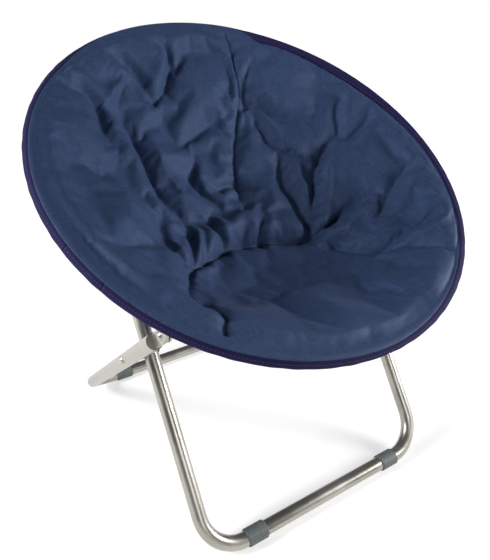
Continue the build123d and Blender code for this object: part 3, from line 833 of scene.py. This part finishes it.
def sleeve(name, first, last, openings):
    """Cloth sleeve round the ring tube between two angles, with a slight pucker along it."""
    steps = max(8, int((last - first) * 2))
    angle = np.radians(np.linspace(first, last, steps + 1))[:, None]
    round_it = np.linspace(0, 2 * np.pi, TURNS, endpoint=False)[None, :]
    pucker = 0.2 * np.sin(angle * 57) + 0.15 * np.sin(angle * 83 + 1.3)
    from_edge = round_it - meeting_angle(angle) + math.radians(9)
    size = SLEEVE_RADIUS + pucker * np.cos(round_it) ** 2 + 0.6 * np.exp(-((from_edge / 0.13) ** 2))
    r = RING_RADIUS + size * np.cos(round_it)
    n = size * np.sin(round_it) + 0 * angle
    x, s = r * np.cos(angle), r * np.sin(angle)
    faces = []
    for i in range(steps):
        for j in range(TURNS):
            k = (j + 1) % TURNS
            middle_x = (x[i, j] + x[i + 1, k]) / 2
            middle_s = (s[i, j] + s[i + 1, k]) / 2
            low = n[i, j] < -3
            away = [(abs(middle_x - ox), abs(middle_s - os)) for ox, os in openings]
            if low and any(dx < BRACKET_OPENING[0] and ds < BRACKET_OPENING[1] for dx, ds in away):
                continue
            faces.append((i * TURNS + j, (i + 1) * TURNS + j, (i + 1) * TURNS + k, i * TURNS + k))
    piece = mesh_object(name, to_space(x, s, n).reshape(-1, 3), faces)
    for polygon in piece.data.polygons:
        polygon.use_smooth = True
    thick = piece.modifiers.new("thickness", "SOLIDIFY")
    thick.thickness = 0.0012
    thick.offset = -1
    piece.data.materials.append(binding)
    return piece


# --- Stitching ----------------------------------------------------------------------------------
# A row of short stitches runs along the middle of the tape. Each is a thin bead of thread sunk into
# the cloth.
thread = bpy.data.materials.new("binding_thread")
thread.use_nodes = True
tree = thread.node_tree
surface = tree.nodes["Principled BSDF"]
surface.inputs["Roughness"].default_value = 0.65
detail = tree.nodes.new("ShaderNodeGroup")
detail.node_tree = weave_group
shade = tree.nodes.new("ShaderNodeMix")
shade.data_type = "RGBA"
shade.inputs["A"].default_value = (0.030, 0.028, 0.085, 1)
shade.inputs["B"].default_value = (0.045, 0.042, 0.120, 1)
tree.links.new(detail.outputs["Shade"], shade.inputs["Factor"])
tree.links.new(shade.outputs["Result"], surface.inputs["Base Color"])

STITCH_PITCH = 5.0
STITCH_LENGTH = 3.4
STITCH_RADIUS = 0.42
STITCH_INSET = math.radians(24)


def stitches(name, first, last):
    """Row of stitches along the binding between two places on the rim, in degrees."""
    count = max(2, int(math.radians(last - first) * RING_RADIUS / STITCH_PITCH))
    middle = np.radians(np.linspace(first, last, count, endpoint=False))
    middle = middle + math.radians(last - first) / count / 2
    along_it = np.array([-0.5, -0.3, 0.3, 0.5]) * STITCH_LENGTH / RING_RADIUS
    fullness = np.array([0.35, 1.0, 1.0, 0.35]) * STITCH_RADIUS
    sides = np.linspace(0, 2 * np.pi, 6, endpoint=False)
    points, faces = [], []
    for place in middle:
        base = len(points) * 6
        for step, size in zip(along_it, fullness):
            angle = place + step
            turn = meeting_angle(angle) - STITCH_INSET + size * np.sin(sides) / SLEEVE_RADIUS
            reach = SLEEVE_RADIUS + 0.15 + size * np.cos(sides)
            points.append(to_space(*on_sleeve(angle + 0 * turn, turn, reach)))
        for ring in range(3):
            for j in range(6):
                k = (j + 1) % 6
                a = base + ring * 6
                faces.append((a + j, a + k, a + 6 + k, a + 6 + j))
        faces.append(tuple(base + 5 - j for j in range(6)))
        faces.append(tuple(base + 18 + j for j in range(6)))
    piece = mesh_object(name, np.vstack(points), faces)
    for polygon in piece.data.polygons:
        polygon.use_smooth = True
    piece.data.materials.append(thread)
    return piece


# --- Rim of each half of the ring ---------------------------------------------------------------
# The long stretches of the sleeve and their stitches stay with the front and the back half. Each is
# open under the ring where the two brackets of a leg stand.
HINGE_REACH = 34.0
SEAT_BRACKET_X = 278.0
BACK_BRACKET_X = 240.0
front_end = math.degrees(math.asin((FOLD_LINE - HINGE_REACH) / RING_RADIUS))
back_end = math.degrees(math.asin((FOLD_LINE + HINGE_REACH) / RING_RADIUS))
bracket_s = -math.sqrt(RING_RADIUS**2 - SEAT_BRACKET_X**2)
seat_brackets = [(-SEAT_BRACKET_X, bracket_s), (SEAT_BRACKET_X, bracket_s)]
rim_front = sleeve("rim_sleeve_front", 180 - front_end, 360 + front_end, seat_brackets)
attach(rim_front, "ring_front")
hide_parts("hem_front")
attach(stitches("rim_stitches_front", 180 - front_end, 360 + front_end), "ring_front")
bracket_s = math.sqrt(RING_RADIUS**2 - BACK_BRACKET_X**2)
back_brackets = [(-BACK_BRACKET_X, bracket_s), (BACK_BRACKET_X, bracket_s)]
rim_back = sleeve("rim_sleeve_back", back_end, 180 - back_end, back_brackets)
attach(rim_back, "ring_back")
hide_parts("hem_back")
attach(stitches("rim_stitches_back", back_end, 180 - back_end), "ring_back")

# --- Rim over the hinges ------------------------------------------------------------------------
# Short stretches of the same sleeve and stitching cover the hinges at the left and the right.
for name, first, last in (("right", front_end, back_end), ("left", 180 - back_end, 180 - front_end)):
    over = sleeve(f"rim_sleeve_hinge_{name}", first, last, [])
    bpy.context.view_layer.objects.active = over
    with bpy.context.temp_override(object=over, active_object=over):
        bpy.ops.object.modifier_apply(modifier="thickness")
    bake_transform(over)
    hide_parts(f"hem_over_hinge_{name}")
    row = stitches(f"rim_stitches_hinge_{name}", first, last)
    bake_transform(row)
